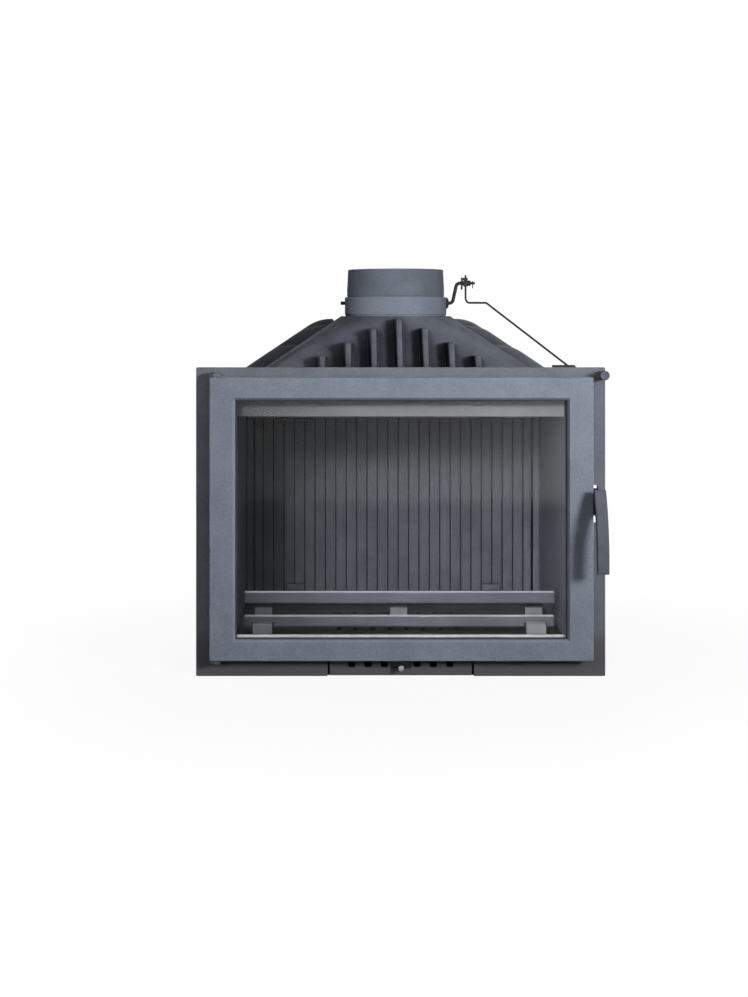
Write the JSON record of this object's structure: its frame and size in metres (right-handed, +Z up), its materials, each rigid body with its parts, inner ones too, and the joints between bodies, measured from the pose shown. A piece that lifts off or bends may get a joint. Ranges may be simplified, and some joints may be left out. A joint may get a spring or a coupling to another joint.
{
  "type": "fireplace insert",
  "caption": "Cast-iron fireplace insert with a hinged glass door, curved latch handle, finned hood, round flue outlet with a damper, log guard, grate and ash drawer.",
  "frame": {"origin": "on the underside of the base plate, straight below the flue's axis", "axes": "+X to the right as seen from the room, +Y towards the back wall, +Z up along the flue"},
  "size_m": [0.703, 0.4948, 0.7015],
  "materials": {
    "outer_casting": "sand-cast iron under matt blue-grey stove paint",
    "hood_casting": "sand-cast iron under matt blue-grey stove paint",
    "inner_casting": "unpainted grey casting with a thin grey wash",
    "raw_steel": "zinc-plated steel, dull",
    "pressed_steel": "light grey primed steel strip",
    "dark_steel": "black oxidised steel",
    "knob_steel": "turned steel, satin",
    "glass": "clear ceramic glass",
    "rope": "woven glass-fibre rope",
    "grip_casting": "fine casting, satin grey paint"
  },
  "bodies": {
    "body": {"air_deflector": "pressed_steel", "back_liner": "inner_casting", "back_wall": "hood_casting", "baffle_lugs": "inner_casting", "baffle_pegs": "inner_casting", "base_plate": "hood_casting", "damper_washer": "raw_steel", "deflector_bolts": "raw_steel", "deflector_stiffener": "dark_steel", "drawer_tunnel": "dark_steel", "flue_collar": "outer_casting", "flue_spigot": "outer_casting", "frame_bolts": "raw_steel", "frame_brackets": "dark_steel", "front_frame": "outer_casting", "hearth_floor": "inner_casting", "hinge_lugs": "outer_casting", "hinge_pins": "raw_steel", "hood_front": "hood_casting", "hood_rear": "hood_casting", "hood_seal": "rope", "latch_keeper": "dark_steel", "liner_clips": "inner_casting", "pull_rod_bush": "raw_steel", "side_liner_left": "inner_casting", "side_liner_right": "inner_casting", "side_wall_left": "hood_casting", "side_wall_right": "hood_casting"},
    "door": {"door_frame": "outer_casting", "door_glass": "glass", "glass_gasket": "rope", "glass_rest": "knob_steel", "glass_clips": "raw_steel", "clip_screws": "raw_steel", "door_rope_seal": "rope", "handle_pivot": "raw_steel"},
    "handle": {"handle_arm": "dark_steel", "handle_grip": "grip_casting", "handle_rivets": "raw_steel"},
    "damper": {"damper_axle": "raw_steel", "damper_disc": "dark_steel", "damper_saddles": "dark_steel", "damper_screws": "raw_steel", "damper_crank": "raw_steel"},
    "clamp": {"crank_clamp": "raw_steel", "clamp_screw": "raw_steel"},
    "pull": {"pull_rod": "raw_steel", "pull_knob": "knob_steel", "cross_strip": "dark_steel", "link_rod": "raw_steel"},
    "drawer": {"drawer_front": "outer_casting", "ash_pan": "dark_steel"},
    "shutter": {"air_shutter": "dark_steel", "shutter_knob": "knob_steel"},
    "log_guard": {"guard_upper_bar": "inner_casting", "guard_lower_bar": "inner_casting", "guard_links": "inner_casting"},
    "grate": {"grate": "inner_casting"},
    "baffle": {"baffle_plate": "inner_casting"}
  },
  "joints": [
    {"name": "door_swing", "type": "hinge", "parent": "body", "child": "door", "pos_m": [-0.316, -0.236, 0.272], "axis": [0, 0, -1], "range_deg": [0, 110]},
    {"name": "handle_lift", "type": "hinge", "parent": "door", "child": "handle", "pos_m": [0.33, -0.235, 0.304], "axis": [-1, 0, 0], "range_deg": [0, 20]},
    {"name": "damper_turn", "type": "hinge", "parent": "body", "child": "damper", "pos_m": [0, 0, 0.64], "axis": [1, 0, 0], "range_deg": [0, 60]},
    {"name": "damper_pull", "type": "slide", "parent": "body", "child": "pull", "axis": [0, -1, 0], "range_m": [0, 0.034]},
    {"name": "clamp_turn", "type": "hinge", "parent": "damper", "child": "clamp", "pos_m": [0.124, 0, 0.677], "axis": [1, 0, 0], "range_deg": [-60.5, 0]},
    {"name": "ash_drawer", "type": "slide", "parent": "body", "child": "drawer", "axis": [0, -1, 0], "range_m": [0, 0.2]},
    {"name": "air_shutter", "type": "slide", "parent": "drawer", "child": "shutter", "axis": [1, 0, 0], "range_m": [-0.0138, 0.0138]},
    {"name": "log_guard_lift", "type": "slide", "parent": "body", "child": "log_guard", "axis": [0, 0, 1], "range_m": [0, 0.1]},
    {"name": "grate_lift", "type": "slide", "parent": "body", "child": "grate", "axis": [0, 0, 1], "range_m": [0, 0.05]},
    {"name": "baffle_lift", "type": "slide", "parent": "body", "child": "baffle", "axis": [0, 0, 1], "range_m": [0, 0.01]}
  ],
  "couplings": [
    {"joint": "damper_pull", "follows": "damper_turn", "m_per_rad": 0.032},
    {"joint": "clamp_turn", "follows": "damper_turn", "ratio": -1}
  ]
}
